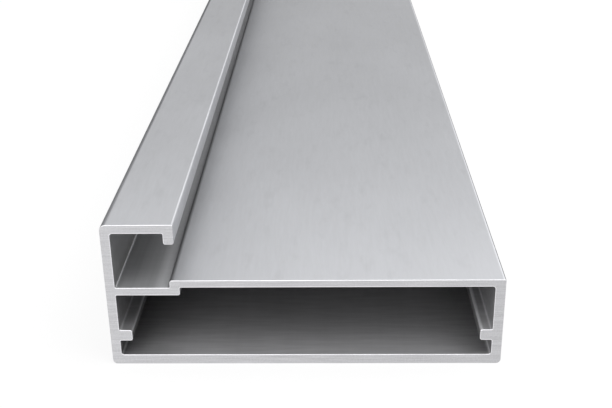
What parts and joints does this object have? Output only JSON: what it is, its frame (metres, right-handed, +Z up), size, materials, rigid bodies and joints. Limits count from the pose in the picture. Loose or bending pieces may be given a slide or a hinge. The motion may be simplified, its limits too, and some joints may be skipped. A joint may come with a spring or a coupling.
{
  "type": "aluminium glazing profile",
  "caption": "Extruded aluminium glazing profile: a wide flat chamber with cleat ribs and, along its side, a raised channel whose lip retains the pane.",
  "frame": {"origin": "middle of the underside of the base plate, at mid-length", "axes": "+X across the section, from the glazing channel towards the plain side; +Y along the bar; +Z up, from the base plate to the head of the channel"},
  "size_m": [0.08, 1, 0.0318],
  "materials": {
    "satin_aluminium": "satin, finely brushed along the bar, with plain sawn ends"
  },
  "bodies": {
    "root": {"glazing_profile": "satin_aluminium"}
  },
  "joints": []
}
